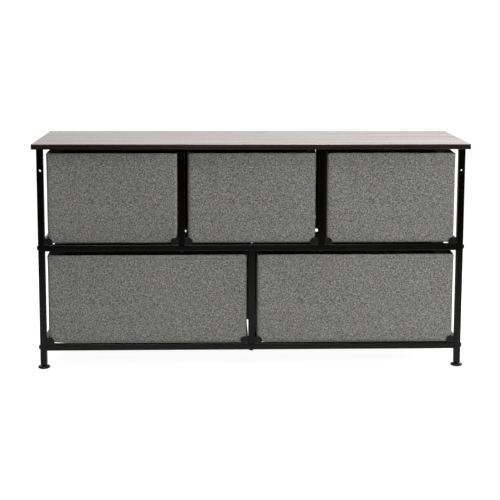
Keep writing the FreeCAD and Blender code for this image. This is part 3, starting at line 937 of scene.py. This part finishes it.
def button_head(height=3.3 * MM, depth=1.8 * MM):
    """Rows of a domed head that sits on z 0, with a hexagon socket of that depth."""
    radius, rim, socket = BOLT_RADIUS, BOLT_RIM, BOLT_SOCKET
    rows = [("round", radius * 0.6, -0.4 * MM), ("round", radius, 0.0), ("round", radius, rim)]
    for k in range(1, DOME_STEPS + 1):
        turn = k / DOME_STEPS * DOME_TURN
        rise = math.sin(turn) / math.sin(DOME_TURN)
        rows.append(("round", radius * math.cos(turn * DOME_NARROWING), rim + (height - rim) * rise))
    rows += [("round", socket + 0.5 * MM, height), ("hex", socket, height - 0.15 * MM)]
    rows += [("hex", socket, height - depth), ("hex", socket * 0.3, height - depth - 0.3 * MM)]
    return rows


def middle_of(node):
    """The middle of a CAD node's box."""
    low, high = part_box(node)
    return (low + high) / 2


def post_bolts():
    """A bolt on the outer side of each post, at both levels of rails."""
    heads = []
    for end in ENDS:
        for side, sign in SIDES.items():
            low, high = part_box(f"post_{end}_{side}")
            outer = high.x if sign > 0 else low.x
            for level in ("lower", "middle"):
                place = (outer, middle_of(f"post_{end}_{side}").y, middle_of(f"rail_{end}_{level}").z)
                heads.append((button_head(), place, "x" if sign > 0 else "-x"))
    return heads


def divider_bolts():
    """Bolts under the rails at each divider, and a low one on top of the middle rail."""
    heads = []
    for end in ENDS:
        low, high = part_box(f"rail_{end}_middle")
        for side in SIDES:
            divider = middle_of(f"divider_upper_{end}_{side}")
            heads.append((button_head(), (divider.x, divider.y, low.z), "-z"))
        divider = middle_of(f"divider_lower_{end}")
        low_head = button_head(height=1.6 * MM, depth=1.1 * MM)
        heads.append((low_head, (divider.x, divider.y, high.z), "z"))
        low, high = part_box(f"rail_{end}_lower")
        heads.append((button_head(), (divider.x, divider.y, low.z), "-z"))
    return heads


def board_screws():
    """Screws through the plates on the posts and upper dividers, up into the board."""
    low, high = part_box("top_plates")
    heads = []
    for end, sign in ENDS.items():
        y = sign * (high.y - PLATE_HOLE_REACH)
        for side in SIDES:
            for node in (f"post_{end}_{side}", f"divider_upper_{end}_{side}"):
                heads.append((in_metres(PAN_HEAD), (middle_of(node).x, y, low.z), "-z"))
    return heads


def runner_screws():
    """A screw through each end of each runner, down into its rail."""
    heads = []
    for end in ENDS:
        y = middle_of(f"rail_{end}_lower").y * RUNNER_SCREW_SHARE
        for bay in BAYS:
            for letter, offset in (("a", RUNNER_SCREW_OFFSET), ("b", -RUNNER_SCREW_OFFSET)):
                runner = f"runner_{bay}_{letter}"
                place = (middle_of(runner).x + offset, y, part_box(runner)[0].z + RUNNER_FLANGE)
                heads.append((in_metres(FLUSH_HEAD), place, "z"))
    return heads


def fasteners(name, heads, material):
    """All the screws or bolts of one kind: heads are (rows, place, axis)."""
    turned = Turned(HEAD_SEGMENTS)
    for rows, place, axis in heads:
        turned.stack(rows, place, axis)
    soften(add_piece(name, turned, "frame", material))


# ---- floor, light, camera


def make_floor(material):
    """Round pale floor just below the feet's longest reach."""
    reach = max(j["range_m"][1] for j in frame["joints"] if j["name"].startswith("foot"))
    bpy.ops.mesh.primitive_circle_add(
        vertices=64, radius=FLOOR_RADIUS, fill_type="NGON", location=(0, 0, -reach - FLOOR_GAP)
    )
    floor = bpy.context.object
    floor.name = "studio_floor"
    floor.data.materials.append(material)


def floor_paint():
    """White floor that fades into the white surroundings away from the object."""
    paint = Material("studio_white", Base_Color=(*grey(0.36), 1), Roughness=0.9)
    seen = (paint.add("ShaderNodeLightPath"), "Is Camera Ray")
    paint.finish(Emission_Color=(*grey(1.0), 1), Emission_Strength=paint.spread(seen, 0.5, 0.9))
    away = paint.add("ShaderNodeVectorMath", {0: paint.coordinates()}, operation="LENGTH")
    fade = paint.spread(
        (away, "Value"), 0.0, 1.0, FADE_START, FADE_END, interpolation_type="SMOOTHSTEP"
    )
    clear = paint.add("ShaderNodeBsdfTransparent")
    blend = paint.add("ShaderNodeMixShader", {0: fade, 1: paint.shader, 2: clear})
    paint.join(blend, paint.tree.nodes["Material Output"], "Surface")
    return paint.data


def add_light(name, place, target, size, power, mirrored=True):
    """An area light; one that isn't mirrored leaves no glare on glossy faces."""
    light = bpy.data.lights.new(name, "AREA")
    light.shape = "RECTANGLE"
    light.size, light.size_y = size
    light.energy = power
    lamp = bpy.data.objects.new(name, light)
    lamp.location = place
    lamp.rotation_mode = "QUATERNION"
    lamp.rotation_quaternion = (Vector(target) - Vector(place)).to_track_quat("-Z", "Y")
    bpy.context.scene.collection.objects.link(lamp)
    lamp.visible_camera = False
    lamp.visible_glossy = mirrored


def make_lights():
    """Soft boxes to the right, beyond the object and by the camera, and a strip above the near edge."""
    middle = (0, 0, 0.26)
    add_light("key_right", (1.9, -1.5, 1.4), middle, size=(1.2, 1.2), power=58, mirrored=False)
    add_light("front_fill", (-1.6, 2.8, 1.5), middle, size=(1.6, 1.6), power=55, mirrored=False)
    add_light("fill_near", (0.8, -3.2, 1.5), middle, size=(1.2, 1.2), power=9)
    add_light("overhead", (0.2, -0.42, 2.6), (0, -0.1, 0), size=(2.6, 0.4), power=70)


def make_world():
    """White surroundings for the eye; what lights the object is bright behind it and to its right."""
    world = bpy.data.worlds.new("studio")
    world.use_nodes = True
    nodes = NodeTree(world.node_tree)
    seen = nodes.tree.nodes["Background"]
    nodes.join((1, 1, 1, 1), seen, "Color")
    nodes.join(1.1, seen, "Strength")
    place = (nodes.add("ShaderNodeTexCoord"), "Generated")
    facing = nodes.add("ShaderNodeVectorMath", {0: place, 1: BACKDROP_SIDE}, operation="DOT_PRODUCT")
    level = nodes.spread(
        (facing, "Value"), DARK_SIDE, BACKDROP, BACKDROP_EDGE, interpolation_type="SMOOTHSTEP"
    )
    studio = nodes.add("ShaderNodeBackground", {"Strength": level})
    to_eye = (nodes.add("ShaderNodeLightPath"), "Is Camera Ray")
    mixed = nodes.add("ShaderNodeMixShader", {0: to_eye, 1: studio, 2: seen})
    nodes.join(mixed, nodes.tree.nodes["World Output"], "Surface")
    bpy.context.scene.world = world


def make_camera():
    """The photograph's camera."""
    camera = bpy.data.cameras.new("camera")
    camera.sensor_width = SENSOR_WIDTH
    camera.lens = CAMERA_LENS
    camera.shift_y = CAMERA_SHIFT
    eye = bpy.data.objects.new("camera", camera)
    flat = math.cos(CAMERA_PITCH)
    ahead = Vector((math.sin(CAMERA_YAW) * flat, math.cos(CAMERA_YAW) * flat, math.sin(CAMERA_PITCH)))
    right = Vector((math.cos(CAMERA_YAW), -math.sin(CAMERA_YAW), 0))
    up = right.cross(ahead)
    right = right * math.cos(CAMERA_ROLL) + up * math.sin(CAMERA_ROLL)
    up = right.cross(ahead)
    turn = Matrix((right, up, -ahead)).transposed().to_4x4()
    eye.matrix_world = Matrix.Translation(CAMERA_PLACE) @ turn
    bpy.context.scene.collection.objects.link(eye)
    bpy.context.scene.camera = eye


# ---- the scene


def dress_cad_nodes():
    """The CAD nodes get their finished materials: steel, unless their name says otherwise."""
    steel = powder_coat("black_powder_coat")
    runner = moulded_plastic("black_runner_plastic", level=0.005, roughness=0.38, radius=0.6 * MM)
    insert = moulded_plastic("black_insert_plastic", level=0.012, roughness=0.5)
    foil = wood_foil("charcoal_wood_foil")
    families = {"top_panel": foil, "runner_": runner, "foot_inserts": insert}
    for name, node in frame["nodes"].items():
        material = next((m for start, m in families.items() if name.startswith(start)), steel)
        for spot in node.material_slots:
            spot.material = material


def make_drawers():
    """The five drawers' shells, base boards and pull tabs."""
    fabric = woven_fabric("heathered_grey_fabric", level=0.155)
    lining = woven_fabric("base_board_cloth", level=0.14)
    strap = woven_fabric("strap_fabric", level=0.095, contrast=0.3, yarn=0.8 * MM)
    thread = woven_fabric("grey_thread", level=0.3, contrast=0.2)
    for bay in BAYS:
        make_shell(bay, fabric, thread)
        make_base_board(bay, lining)
        make_pull_tab(bay, strap, thread)


def make_feet():
    """The four levelling feet."""
    plastic = moulded_plastic("black_foot_plastic", level=0.008, roughness=0.2)
    for end in ENDS:
        for side in SIDES:
            make_foot(end, side, plastic)


def make_fasteners():
    """Frame bolts, divider bolts, screws up into the board and screws of the runners."""
    bolt = plated_steel("black_bolt_steel", level=0.03)
    screw = plated_steel("zinc_screw_steel", level=0.45)
    fasteners("post_bolts", post_bolts(), bolt)
    fasteners("divider_bolts", divider_bolts(), bolt)
    fasteners("board_screws", board_screws(), screw)
    fasteners("runner_screws", runner_screws(), screw)


bpy.context.scene.view_settings.view_transform = "Standard"
make_camera()
make_world()
make_lights()
make_floor(floor_paint())
dress_cad_nodes()
make_drawers()
make_feet()
make_fasteners()
